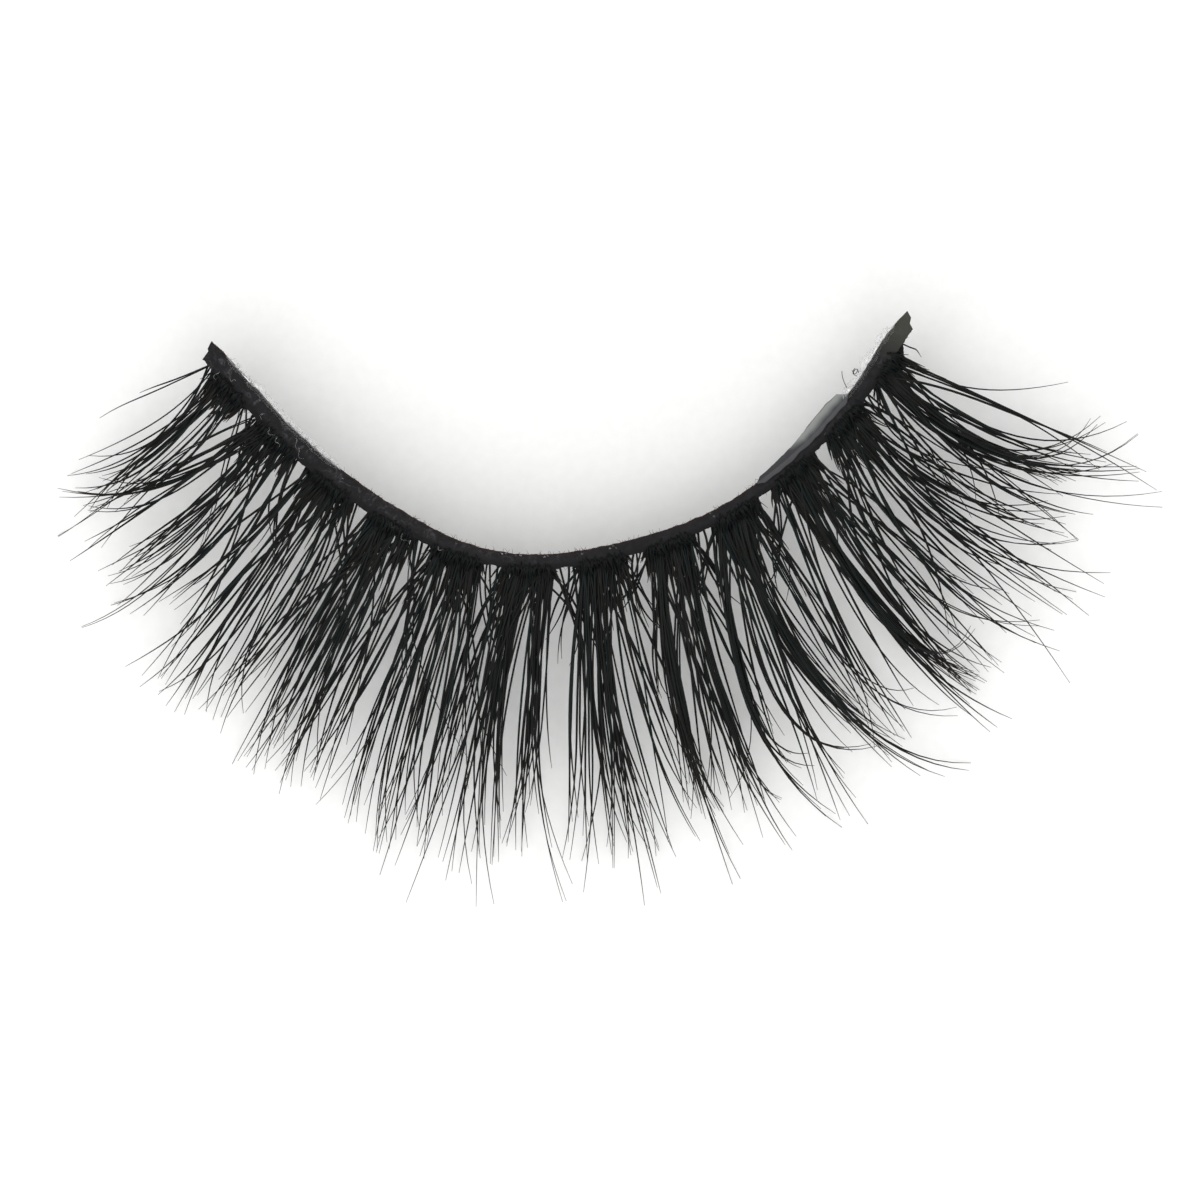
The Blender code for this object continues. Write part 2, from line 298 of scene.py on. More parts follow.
def blackCotton():
    look = cottonLook
    material, tree, shader = newMaterial("black_cotton_tape")
    place = addNode(tree, "NewGeometry")
    clouds = {"Scale": perMetre(look["mottleMm"]), "Detail": 6.0, "Roughness": 0.7}
    mottle = addNode(tree, "TexNoise", clouds, {"Vector": place})
    body = addNode(tree, "ValToRGB", links={"Fac": mottle})
    setRamp(body, [(0.4, look["body"]), (0.7, look["pale"])])
    blots = {"Scale": perMetre(look["stainMm"]), "Detail": 7.0, "Roughness": 0.75, "Distortion": 1.6}
    stain = addNode(tree, "TexNoise", blots, {"Vector": place})
    patch = addNode(tree, "MapRange", {"From Min": 0.52, "From Max": 0.72}, {"Value": stain})
    soak = addNode(tree, "Math", links={0: patch, 1: "glued"}, operation="MULTIPLY")
    soaked = addNode(tree, "Mix", {"B": look["soaked"]}, {"Factor": soak, "A": body}, data_type="RGBA")
    rusty = addNode(tree, "Mix", {"B": look["rust"]}, {"Factor": "rim", "A": soaked}, data_type="RGBA")
    blot = addNode(tree, "MapRange", {"From Min": 0.35, "From Max": 0.65}, {"Value": stain})
    spreadOut = addNode(tree, "Math", {2: -0.35}, {0: "dyed", 1: blot}, operation="MULTIPLY_ADD")
    dark = addNode(tree, "Math", links={0: spreadOut, 1: "dyed"}, operation="ADD", use_clamp=True)
    inked = addNode(tree, "Mix", {"B": look["dyed"]}, {"Factor": dark, "A": rusty}, data_type="RGBA")
    worn = addNode(tree, "Mix", {"B": look["bare"]}, {"Factor": "bare", "A": inked}, data_type="RGBA")
    fibre = addNode(tree, "TexNoise", {"Scale": perMetre(look["fibreMm"]), "Detail": 4.0}, {"Vector": place})
    relief = addNode(tree, "Bump", {"Strength": 0.6, "Distance": 0.01 * mm}, {"Height": fibre})
    rough = addNode(tree, "MapRange", {"To Min": 0.6, "To Max": 0.95}, {"Value": mottle})
    links = {"Base Color": worn, "Roughness": rough, "Normal": relief}
    setNode(tree, shader, {"Specular IOR Level": 0.2, "IOR": 1.5}, links)
    return material

bandPiece = {
    "step": 0.04,
    "acrossPoints": 11,
    "chamfer": 0.05,
    "crownReach": 0.12,  # how far in from an edge the rounding goes
    "innerFringe": 0.02,  # loose thread that widens the tape past its solid, on each side
    "outerFringe": 0.03,
    "endEase": 0.5,  # the fringe fades over this stretch at both ends
    "edgeWobble": 0.03,
    "threadMm": 0.11,
    "grain": 0.008,
    "lumps": 0.022,
    "rimReach": 0.07,  # how far in the rust goes
    "bareEnd": 2.1,  # the right end has lost its dye
    "glued": [(0, 1.0), (8, 0.9), (13, 0.5), (18, 0.2), (26, 0.2), (bandLength, 0.6)],
    "tied": [(0.6, 0), (1.2, 1), (bandLength - 2.6, 1), (bandLength - 1.2, 0)],
    "middleDye": [(12, 0), (18, 0.35), (26, 0.35), (30, 0)],
    "inkFrom": 0.45,  # share of the tape's width where the roots' ink starts
    "inkOver": 0.4,
}

def grainAt(along, across):  # low woven ribs, and the lumps of thread and glue over them
    pitch = bandPiece["threadMm"]
    rib = math.sin(2 * math.pi * along / pitch) * math.cos(2 * math.pi * across / (1.3 * pitch))
    lump = noise.fractal(Vector((along * 2.6, across * 3.4, 3.0)), 1.0, 2.0, 3)
    return bandPiece["grain"] * 0.5 * rib + bandPiece["lumps"] * lump

def dyedAt(along, share):  # the outer part of the tape is inked by the roots tied in under it
    middle = readRows(bandPiece["middleDye"], along)
    outer = min(1.0, max(0.0, (share - bandPiece["inkFrom"]) / bandPiece["inkOver"]))
    return readRows(bandPiece["tied"], along) * max(middle, outer)

def makeBand(material):
    plan = bandPiece
    count = int(bandLength / plan["step"])
    special = [along for along, _ in bandShape["leftWidths"]]
    special += [bandLength - along for along, _ in bandShape["rightWidths"]]
    stations = sorted(set(np.linspace(0, bandLength, count + 1)) | set(special))
    across = np.linspace(0, 1, plan["acrossPoints"])
    points, rims, bares, glues, dyes = [], [], [], [], []
    for s in stations:
        ends = min(1.0, s / plan["endEase"], (bandLength - s) / plan["endEase"])
        width = bandWidth(s)
        inner = noise.fractal(Vector((s * 2.4, 0.0, 0.0)), 0.8, 2.0, 4)
        outer = noise.fractal(Vector((s * 3.1, 7.0, 0.0)), 0.8, 2.0, 4)
        low = -plan["innerFringe"] * ends + plan["edgeWobble"] * inner
        high = width + plan["outerFringe"] * ends + 1.5 * plan["edgeWobble"] * outer
        if ends == 0.0:
            low, high = 0.0, width
        cut = min(plan["chamfer"], 0.3 * width)
        point, _, outward = edgeFrame(s)
        for side in (1, -1):
            for f in across if side == 1 else across[::-1]:
                edge = min(f, 1 - f) * (high - low)
                crown = cut * (1 - min(1.0, edge / plan["crownReach"])) ** 2
                a = low + f * (high - low)
                z = bandTop - crown if side == 1 else bandUnder + crown
                z += side * min(0.0, grainAt(s, a) - plan["lumps"])
                points.append((*(point + outward * a), z))
                rims.append(max(0.0, 1 - edge / plan["rimReach"]) * (0.9 if f < 0.5 else 0.2))
                bares.append(0.9 * max(0.0, 1 - (bandLength - s) / plan["bareEnd"]) ** 0.7)
                glues.append(readRows(plan["glued"], s))
                dyes.append(dyedAt(s, f))
    faces = tubeFaces(len(stations), 2 * plan["acrossPoints"], 0)
    values = {"rim": rims, "bare": bares, "glued": glues, "dyed": dyes}
    makePiece("band_tape", points, faces, material, ["band"], values)

# Loose ends of thread that stand out along both edges of the tape
fuzzPlan = {
    "count": 520,
    "length": (0.05, 0.2),
    "thick": 0.014,
    "innerShare": 0.75,
    "turn": 0.9,
    "bend": 0.4,
    "depth": 0.05,
    "depthSpread": 0.15,
    "rings": 5,
    "sides": 4,
    "seed": 7,
}

def makeFuzz(material):
    plan = fuzzPlan
    rng = random.Random(plan["seed"])
    t = np.linspace(0, 1, plan["rings"])
    tubes = []
    for _ in range(plan["count"]):
        along = rng.uniform(0.1, bandLength - 0.1)
        inner = rng.random() < plan["innerShare"]
        point, ahead, outward = edgeFrame(along)
        start = point if inner else point + outward * bandWidth(along)
        angle = rng.gauss(0, plan["turn"])
        heading = (-outward if inner else outward) * math.cos(angle) + ahead * math.sin(angle)
        length = rng.uniform(*plan["length"]) * min(1.0, along, bandLength - along)
        bend = rng.gauss(0, plan["bend"]) * length
        plane = start + np.outer(t * length, heading) + np.outer(t**2 * bend, ahead)
        z = bandTop - plan["depth"] - rng.random() * plan["depthSpread"] - plan["depth"] * t
        tubes.append((np.column_stack([plane, z]), plan["thick"] / 2 * (1 - 0.7 * t)))
    points, faces = bundleTubes(tubes, plan["sides"])
    none = np.zeros(len(points))
    values = {"rim": none + 0.5, "bare": none, "glued": none, "dyed": none}
    makePiece("band_fuzz", points, faces, material, ["band"], values)

cotton = blackCotton()
makeBand(cotton)
makeFuzz(cotton)
print("band is woven")

# Black fibre, drawn fine and tapered: almost black, a soft sheen along its length, and a
# brown cast where single hairs thin out.
fibreLook = {
    "tones": [(0.0, "#0a1616"), (0.35, "#0a0b0a"), (0.85, "#121412"), (1.0, "#141210")],
    "tip": "#22170f",
    "sheenMm": 1 / 9,  # size of the patches in which the sheen changes
}

def lashFibre():
    look = fibreLook
    material, tree, shader = newMaterial("tapered_black_fibre")
    place = addNode(tree, "NewGeometry")
    body = addNode(tree, "ValToRGB", links={"Fac": "tone"})
    setRamp(body, look["tones"])
    fading = {"From Min": 0.6, "From Max": 1.0, "To Max": 0.6}
    tipShare = addNode(tree, "MapRange", fading, {"Value": "along"})
    tipped = addNode(tree, "Mix", {"B": look["tip"]}, {"Factor": tipShare, "A": body}, data_type="RGBA")
    patches = {"Scale": perMetre(look["sheenMm"]), "Detail": 2.0}
    sheen = addNode(tree, "TexNoise", patches, {"Vector": place})
    rough = addNode(tree, "MapRange", {"To Min": 0.4, "To Max": 0.62}, {"Value": sheen})
    links = {"Base Color": tipped, "Roughness": rough}
    setNode(tree, shader, {"Specular IOR Level": 0.12, "IOR": 1.55}, links)
    return material

hairPlan = {
    "firstRoot": 1.75,  # from the band's left end to the first cluster, as in the solids
    "lastRoot": 2.12,
    "clusters": 12,
    "thick": 0.088,
    "strayThick": 0.062,  # single hairs that stand apart
    "thickRange": (0.75, 1.12),
    "tipThick": 0.016,
    "fullShare": 0.56,  # share of a hair that keeps its full thickness
    "taper": 0.8,
    "sides": 6,
    "rings": 18,
    "rootSpread": 0.6,  # half width of a wisp's root
    "rootDepth": (0.5, 0.9),  # share of the band's width at which hairs are tied in
    "looseMiddle": 2.2,  # how much wider than its chart a wisp is drawn, half way and at its tip
    "looseTip": 2.1,
    "shortHairs": 90,  # short hairs that fill each cluster's root
    "rootHalf": 0.92,  # half the width of a cluster's root
    "lastReach": (-0.65, 0.5),  # the last cluster's root is narrower
    "swap": 0.55,  # share of hairs that lean over to the next wisp
    "crossing": 0.2,  # share of hairs rooted anywhere in their cluster, so that they cross the rest
    "shorter": 0.2,  # how much of its wisp's length a hair may lack
    "overrun": 1.03,  # fuller wisps run this far past their charted tip
    "curl": 2.1,
    "rootDrop": 0.21,  # from the band's underside to the middle of the roots
    "rootLayer": 0.11,  # hairs are stacked this far above and below the root line
    "lowestTip": 0.02,
    "hook": 0.4,  # how far a tip bends aside
    "hookFrom": 0.6,
    "wave": 0.045,
    "density": 0.72,  # share of the chart's hairs that is grown in the fuller wisps
    "seed": 41,
}

# One row for each wisp of hair: its cluster, its root's place along the band from the cluster's
# middle, two places that it passes as read in the picture in pixels, half way and at its tip, how
# high its tips stay, how many hairs it has, and half its width at both places. The rest is
# millimetres. A hair that stands alone leaves the last three out.
wispFields = "cluster offset middlePx tipPx rise hairs middleWidth tipWidth"
Wisp = namedtuple("Wisp", wispFields, defaults=(1, 0.02, 0.02))
wispRows = [
    (1, -1.10, (172, 380), (139, 391), 3.0),
    (1, -1.02, (154, 392), (98, 413), 2.8),
    (1, -0.92, (155, 422), (78, 457), 2.2),
    (1, -0.85, (158, 440), (72, 486), 0.9, 7, 0.14, 0.32),
    (1, -0.40, (158, 449), (82, 502), 0.3, 13, 0.18, 0.34),
    (1, -0.10, (150, 467), (60, 539), 0.1, 2, 0.08, 0.05),
    (1, 0.25, (173, 462), (92, 516), 0.3, 5, 0.18, 0.34),
    (1, 0.60, (229, 452), (213, 548), 1.6, 2, 0.10, 0.20),
    (1, 0.90, (243, 438), (236, 505), 2.0, 3, 0.12, 0.25),
    (2, -0.95, (190, 447), (120, 500), 1.4, 2, 0.06, 0.15),
    (2, -0.80, (185, 466), (98, 513), 1.0, 3, 0.10, 0.25),
    (2, -0.60, (180, 476), (66, 504), 0.8, 5, 0.08, 0.16),
    (2, -0.55, (172, 493), (88, 508), 1.0, 2, 0.05, 0.15),
    (2, -0.65, (165, 494), (66, 555), 0.6, 3, 0.10, 0.14),
    (2, -0.50, (195, 510), (106, 574), 0.3, 15, 0.20, 0.32),
    (2, -0.10, (200, 538), (118, 606), 0.2, 7, 0.24, 0.36),
    (2, 0.00, (180, 560), (83, 630), 0.1, 2, 0.06, 0.06),
    (2, 0.25, (216, 537), (140, 618), 0.4, 6, 0.24, 0.40),
    (2, 0.60, (240, 543), (178, 615), 0.9, 5, 0.30, 0.50),
    (2, 0.90, (276, 498), (262, 562), 1.8, 4, 0.16, 0.30),
    (3, -0.85, (238, 536), (152, 610), 1.0, 4, 0.30, 0.50),
    (3, -0.70, (240, 562), (152, 664), 0.6, 6, 0.18, 0.30),
    (3, -0.50, (236, 592), (149, 694), 0.3, 13, 0.20, 0.28),
    (3, 0.00, (250, 612), (185, 708), 0.2, 9, 0.24, 0.38),
    (3, 0.30, (276, 605), (215, 714), 0.3, 9, 0.30, 0.42),
    (3, 0.65, (302, 600), (234, 690), 0.8, 5, 0.30, 0.50),
    (3, 0.95, (343, 562), (334, 640), 1.6, 4, 0.14, 0.35),
    (4, -0.90, (290, 615), (225, 700), 0.8, 7, 0.35, 0.50),
    (4, -0.40, (314, 628), (245, 760), 0.2, 14, 0.22, 0.34),
    (4, -0.20, (324, 636), (270, 762), 0.4, 9, 0.22, 0.36),
    (4, -0.10, (328, 652), (262, 776), 0.2, 13, 0.20, 0.38),
    (4, 0.30, (346, 652), (296, 780), 0.3, 11, 0.22, 0.38),
    (4, 0.60, (368, 650), (310, 768), 0.6, 5, 0.25, 0.40),
    (4, 0.90, (409, 600), (402, 690), 1.5, 4, 0.12, 0.30),
    (4, 0.98, (414, 645), (474, 765), 1.0),
    (5, -0.85, (366, 660), (304, 784), 0.6, 9, 0.36, 0.48),
    (5, -0.50, (396, 672), (342, 812), 0.3, 13, 0.25, 0.34),
    (5, -0.20, (392, 700), (314, 803), 0.2),
    (5, -0.10, (412, 690), (368, 844), 0.2, 10, 0.24, 0.38),
    (5, 0.20, (425, 702), (388, 868), 0.2, 13, 0.20, 0.30),
    (5, 0.60, (446, 705), (406, 860), 0.4, 9, 0.20, 0.42),
    (5, 0.80, (466, 650), (474, 790), 0.8, 4, 0.20, 0.30),
    (5, 0.90, (489, 610), (500, 680), 1.6, 4, 0.14, 0.30),
    (6, -0.80, (470, 655), (446, 800), 0.7, 4, 0.26, 0.34),
    (6, -0.80, (468, 690), (433, 848), 0.4, 7, 0.24, 0.34),
    (6, -0.50, (478, 716), (446, 894), 0.2, 8, 0.18, 0.34),
    (6, -0.20, (490, 705), (474, 850), 0.3, 9, 0.20, 0.28),
    (6, -0.15, (482, 735), (488, 905), 0.1, 2, 0.06, 0.10),
    (6, 0.10, (504, 700), (502, 862), 0.3, 12, 0.16, 0.28),
    (6, 0.40, (528, 706), (520, 850), 0.2, 13, 0.13, 0.28),
    (6, 0.75, (541, 700), (537, 832), 0.4, 9, 0.14, 0.18),
    (6, 0.70, (536, 735), (558, 903), 0.1, 2, 0.05, 0.08),
    (6, 0.75, (534, 730), (572, 884), 0.3),
    (6, 0.80, (546, 690), (553, 768), 1.4),
    (6, 0.90, (568, 606), (581, 662), 1.8, 5, 0.14, 0.25),
    (7, -0.90, (565, 597), (545, 660), 1.8, 4, 0.12, 0.22),
    (7, -0.80, (568, 712), (584, 846), 0.5, 3, 0.10, 0.18),
    (7, -0.55, (582, 710), (578, 862), 0.4, 4, 0.10, 0.12),
    (7, -0.40, (588, 722), (591, 904), 0.1, 3, 0.10, 0.05),
    (7, -0.30, (598, 702), (618, 846), 0.2, 17, 0.19, 0.30),
    (7, -0.10, (612, 722), (610, 868), 0.2, 2, 0.04, 0.03),
    (7, 0.05, (614, 706), (650, 850), 0.2, 15, 0.20, 0.48),
    (7, 0.10, (618, 730), (662, 904), 0.1, 3, 0.10, 0.10),
    (7, 0.40, (640, 708), (690, 838), 0.4, 9, 0.28, 0.46),
    (7, 0.75, (652, 668), (690, 778), 0.9, 5, 0.25, 0.40),
    (7, 0.95, (640, 590), (656, 640), 1.8, 4, 0.16, 0.25),
    (8, -0.90, (635, 584), (621, 618), 1.8, 4, 0.12, 0.22),
    (8, -0.75, (655, 640), (664, 705), 1.4, 4, 0.10, 0.12),
    (8, -0.25, (674, 682), (706, 812), 0.2, 26, 0.18, 0.16),
    (8, -0.35, (680, 712), (742, 868), 0.1, 7, 0.12, 0.28),
    (8, 0.05, (694, 672), (714, 790), 0.5, 10, 0.25, 0.30),
    (8, 0.35, (711, 685), (758, 798), 0.2, 15, 0.17, 0.16),
    (8, 0.45, (726, 706), (788, 858), 0.1, 6, 0.12, 0.42),
    (8, 0.50, (730, 722), (781, 800), 0.3, 2, 0.04, 0.04),
    (8, 0.75, (724, 640), (768, 738), 0.9, 5, 0.30, 0.36),
    (8, 0.95, (712, 566), (726, 612), 1.8, 4, 0.16, 0.25),
    (8, 0.90, (748, 690), (731, 800), 0.9),
    (9, -0.90, (706, 562), (695, 612), 1.7, 4, 0.12, 0.25),
    (9, -0.60, (738, 668), (786, 758), 0.5, 7, 0.18, 0.16),
    (9, -0.55, (748, 700), (836, 822), 0.3, 5, 0.10, 0.25),
    (9, -0.50, (752, 706), (814, 757), 0.7, 3, 0.06, 0.10),
    (9, -0.30, (782, 684), (842, 828), 0.2, 11, 0.22, 0.38),
    (9, -0.20, (782, 706), (878, 741), 0.4, 3, 0.06, 0.05),
    (9, 0.00, (791, 651), (894, 744), 0.2, 24, 0.20, 0.15),
    (9, 0.00, (830, 692), (958, 778), 0.1, 5, 0.08, 0.25),
    (9, 0.40, (791, 612), (866, 724), 0.6, 8, 0.30, 0.46),
    (9, 0.65, (826, 632), (884, 760), 0.6, 4, 0.28, 0.40),
    (9, 0.70, (838, 652), (914, 689), 0.9),
    (9, 0.75, (850, 668), (957, 711), 0.7, 2, 0.05, 0.05),
    (9, 0.92, (776, 540), (800, 602), 1.7, 4, 0.16, 0.25),
    (10, -0.88, (777, 540), (772, 600), 1.7, 4, 0.12, 0.25),
    (10, -0.55, (826, 612), (876, 696), 0.7, 3, 0.30, 0.38),
    (10, -0.45, (846, 640), (912, 738), 0.4, 3, 0.20, 0.30),
    (10, -0.25, (858, 622), (930, 718), 0.5, 3, 0.32, 0.50),
    (10, 0.00, (868, 596), (968, 692), 0.2, 26, 0.20, 0.15),
    (10, 0.50, (886, 590), (978, 682), 0.4, 11, 0.20, 0.16),
    (10, 0.05, (896, 640), (1004, 724), 0.1, 6, 0.10, 0.25),
    (10, 0.10, (900, 634), (974, 628), 0.8, 2, 0.05, 0.06),
    (10, 0.50, (892, 560), (996, 668), 0.6, 4, 0.14, 0.18),
    (10, 0.70, (876, 522), (962, 602), 0.8, 8, 0.40, 0.46),
    (10, 0.92, (830, 495), (850, 552), 1.7, 4, 0.16, 0.25),
    (11, -0.75, (868, 538), (922, 640), 0.8, 6, 0.28, 0.42),
    (11, -0.60, (912, 580), (1040, 625), 0.5, 2, 0.04, 0.06),
    (11, -0.30, (906, 528), (996, 602), 0.4, 9, 0.34, 0.20),
    (11, -0.25, (926, 560), (1058, 640), 0.2, 5, 0.10, 0.26),
    (11, 0.00, (936, 524), (1062, 602), 0.3, 10, 0.38, 0.28),
    (11, 0.20, (955, 532), (1074, 680), 0.2),
    (11, 0.30, (946, 516), (1100, 598), 0.4, 7, 0.40, 0.42),
    (11, 0.50, (950, 498), (1084, 563), 0.5, 7, 0.40, 0.40),
    (11, 0.60, (945, 488), (1065, 527), 0.9, 3, 0.18, 0.10),
    (11, 0.55, (952, 520), (1078, 541), 0.8, 2, 0.10, 0.05),
    (11, 0.75, (942, 474), (1060, 514), 0.9, 6, 0.28, 0.38),
    (11, 0.92, (905, 428), (985, 492), 1.2, 5, 0.28, 0.42),
    (12, -0.80, (905, 455), (962, 542), 1.1, 7, 0.34, 0.46),
    (12, -0.50, (982, 462), (1078, 541), 0.8, 2, 0.08, 0.08),
    (12, -0.35, (962, 436), (1062, 474), 0.4, 19, 0.26, 0.24),
    (12, -0.30, (990, 452), (1130, 482), 0.3, 11, 0.20, 0.42),
    (12, -0.40, (1006, 474), (1162, 501), 0.2, 2, 0.06, 0.06),
    (12, -0.45, (992, 480), (1096, 509), 0.4, 3, 0.10, 0.18),
    (12, 0.30, (980, 424), (1120, 470), 0.5, 6, 0.20, 0.36),
    (12, 0.60, (1010, 412), (1160, 492), 0.6, 4, 0.08, 0.14),
    (12, 0.75, (962, 386), (1068, 382), 2.4),
    (12, 0.00, (996, 447), (1102, 418), 1.0, 2, 0.06, 0.04),
    (12, 0.00, (1008, 455), (1097, 424), 1.0, 2, 0.04, 0.04),
    (12, 0.05, (1020, 460), (1140, 437), 0.9, 2, 0.04, 0.04),
    (12, 0.30, (1010, 434), (1127, 422), 1.2),
    (12, 0.98, (912, 348), (921, 350), 3.3, 1, 0.01, 0.01),
]
wisps = [Wisp(*row) for row in wispRows]
rootPitch = (bandLength - hairPlan["firstRoot"] - hairPlan["lastRoot"]) / (hairPlan["clusters"] - 1)
rootLine = bandUnder - hairPlan["rootDrop"]

def clusterRoot(cluster):
    return hairPlan["firstRoot"] + (cluster - 1) * rootPitch

# One hair of a wisp, to a share of its length: sides are how far it lies beside the wisp's middle
# line, half way and at its tip, and bends are how far its own tip hooks, how far it waves, how many
# waves it has and where they start
def hairPath(wisp, along, across, share, sides, heights, bends):
    plan = hairPlan
    hook, wave, waves, phase = bends
    t = np.linspace(0, share, plan["rings"])
    ends = (bandSpot(along, across), fromPicture(wisp.middlePx), fromPicture(wisp.tipPx))
    path, weights = throughPoints(t, *ends)
    steps = np.gradient(path, axis=0)
    steps /= np.linalg.norm(steps, axis=1)[:, None]
    own = t / share
    beside = weights[1] * sides[0] + weights[2] * sides[1]
    beside += hook * (np.clip(own - plan["hookFrom"], 0, 1) / (1 - plan["hookFrom"])) ** 2
    beside += wave * own * np.sin(2 * np.pi * (waves * own + phase))
    path = path + beside[:, None] * np.stack([-steps[:, 1], steps[:, 0]], axis=1)
    z = heights[0] - (heights[0] - heights[1]) * np.minimum(t, 1) ** plan["curl"]
    wider = 1 + (bandTop - z) / cameraSetup["distance"]  # what lies deeper looks smaller
    return np.column_stack([path * wider[:, None], z])

def hairRadii(thick):
    plan = hairPlan
    t = np.linspace(0, 1, plan["rings"])
    left = np.clip((1 - t) / (1 - plan["fullShare"]), 0, 1)
    return (plan["tipThick"] + (thick - plan["tipThick"]) * left ** plan["taper"]) / 2

def leanOver(wisp, rng):  # the wisp, turned part of the way to its neighbour in the cluster
    own = [w for w in wisps if w.cluster == wisp.cluster and w.hairs > 5]
    if wisp not in own or len(own) < 2 or rng.random() > hairPlan["swap"] * min(1, 8 / wisp.hairs):
        return wisp
    index = own.index(wisp) + rng.choice((-1, 1))
    other = own[min(max(index, 0), len(own) - 1)]
    early, late = rng.uniform(0, 0.5), rng.uniform(0.3, 1.0)
    middle = [a + early * (b - a) for a, b in zip(wisp.middlePx, other.middlePx)]
    tip = [a + late * (b - a) for a, b in zip(wisp.tipPx, other.tipPx)]
    return wisp._replace(middlePx=middle, tipPx=tip)

# A hair's path, radii and tone: place is -1 to 1 across its wisp, share is how much of the wisp's
# length it has, and root is its own place along the band, if it has one
def growHair(wisp, place, share, rng, root=None):
    plan = hairPlan
    loose = rng.uniform(-1, 1)
    along = clusterRoot(wisp.cluster) + (wisp.offset if root is None else root)
    if root is None and wisp.hairs > 1:
        along += plan["rootSpread"] * (0.3 * place + 0.7 * loose)
    across = bandWidth(along) * rng.uniform(*plan["rootDepth"])
    toMiddle = plan["looseMiddle"] * wisp.middleWidth * (0.4 * place + 0.6 * rng.uniform(-1, 1))
    toTip = plan["looseTip"] * wisp.tipWidth * (0.3 * place + 0.7 * rng.uniform(-1, 1))
    tip = max(0.0, wisp.rise + rng.gauss(0.1, 0.3)) + plan["lowestTip"]
    heights = (rootLine + rng.uniform(-1, 1) * plan["rootLayer"], tip)
    many = min(1.0, wisp.hairs / 4) * share**1.5  # a short or single hair bends less
    hook = rng.gauss(0, plan["hook"]) * many
    wave = many * plan["wave"] * rng.uniform(0.3, 1.5)
    bends = (hook, wave, rng.uniform(0.6, 1.6), rng.random())
    leant = leanOver(wisp, rng)
    path = hairPath(leant, along, across, share, (-toMiddle, -toTip), heights, bends)
    thick = plan["thick"] if wisp.hairs > 2 else plan["strayThick"]
    return path, hairRadii(thick * rng.uniform(*plan["thickRange"])), rng.random()

def rootReach(cluster):  # how far a cluster's roots lie along the band to either side of its middle
    if cluster == hairPlan["clusters"]:
        return hairPlan["lastReach"]
    return (-hairPlan["rootHalf"], hairPlan["rootHalf"])

def growWisp(wisp, rng):
    plan = hairPlan
    hairs = []
    count = wisp.hairs if wisp.hairs < 6 else round(wisp.hairs * plan["density"])
    for k in range(count):
        place = 0.0 if count == 1 else -1 + 2 * (k + rng.random()) / count
        shorter = plan["shorter"] * rng.random() ** 2 if wisp.hairs > 2 else 0.0
        reach = plan["overrun"] if wisp.hairs > 4 else 1.0
        root = None
        if wisp.hairs > 3 and rng.random() < plan["crossing"]:
            root = rng.uniform(*rootReach(wisp.cluster))
        hairs.append(growHair(wisp, place, reach - shorter, rng, root))
    return hairs

def growRoots(cluster, rng):  # short hairs that make the cluster's dense dark root
    plan = hairPlan
    own = sorted((w for w in wisps if w.cluster == cluster and w.hairs > 3), key=lambda w: w.offset)
    hairs = []
    for k in range(plan["shortHairs"]):
        root = plan["rootHalf"] * (-1 + 2 * (k + rng.random()) / plan["shortHairs"])
        if cluster == plan["clusters"]:
            root = rng.uniform(*plan["lastReach"])
        wisp = min(own, key=lambda w: abs(w.offset - root + rng.gauss(0, 0.3)))
        share = rng.uniform(0.08, 0.16) + 0.12 * rng.random() ** 3
        hairs.append(growHair(wisp, rng.uniform(-1, 1), share, rng, root))
    return hairs

def makeCluster(cluster, material):
    plan = hairPlan
    rng = random.Random(plan["seed"] * 100 + cluster)
    hairs = []
    for wisp in [w for w in wisps if w.cluster == cluster]:
        hairs += growWisp(wisp, rng)
    hairs += growRoots(cluster, rng)
    points, faces = bundleTubes([(path, radii) for path, radii, _ in hairs], plan["sides"])
    tones = np.repeat([tone for _, _, tone in hairs], plan["rings"] * plan["sides"])
    alongs = np.tile(np.repeat(np.linspace(0, 1, plan["rings"]), plan["sides"]), len(hairs))
    values = {"tone": tones, "along": alongs}
    makePiece("lashes_%02d" % cluster, points, faces, material, ["lash_fringe"], values)
    return len(hairs)

fibre = lashFibre()
hairCount = sum(makeCluster(cluster, fibre) for cluster in range(1, hairPlan["clusters"] + 1))
print("hairs grown:", hairCount)

# Root cord: the thread that the hairs are knotted to, bound tightly under the band. It swells
# past the band's outer edge where a cluster is tied in.
cordPlan = {
    "start": 0.75,
    "inset": 0.05,
    "thick": 0.3,
    "gap": 0.06,
    "step": 0.03,
    "windMm": 0.13,
    "relief": 0.02,
    "squareness": 0.7,  # 1 is a round section, less is squarer
    "sides": 18,
    "knot": 0.34,  # how far a knot stands out past the band
    "knotHalf": 1.05,  # half its length along the band
}

def knotAt(along):
    near = min(abs(along - clusterRoot(c)) for c in range(1, hairPlan["clusters"] + 1))
    swell = max(0.0, 1 - (near / cordPlan["knotHalf"]) ** 4) ** 0.5
    return cordPlan["knot"] * swell * (1 + 0.5 * noise.noise(Vector((along * 2.3, 4.0, 0.0))))

def squarer(part):
    return math.copysign(abs(part) ** cordPlan["squareness"], part)

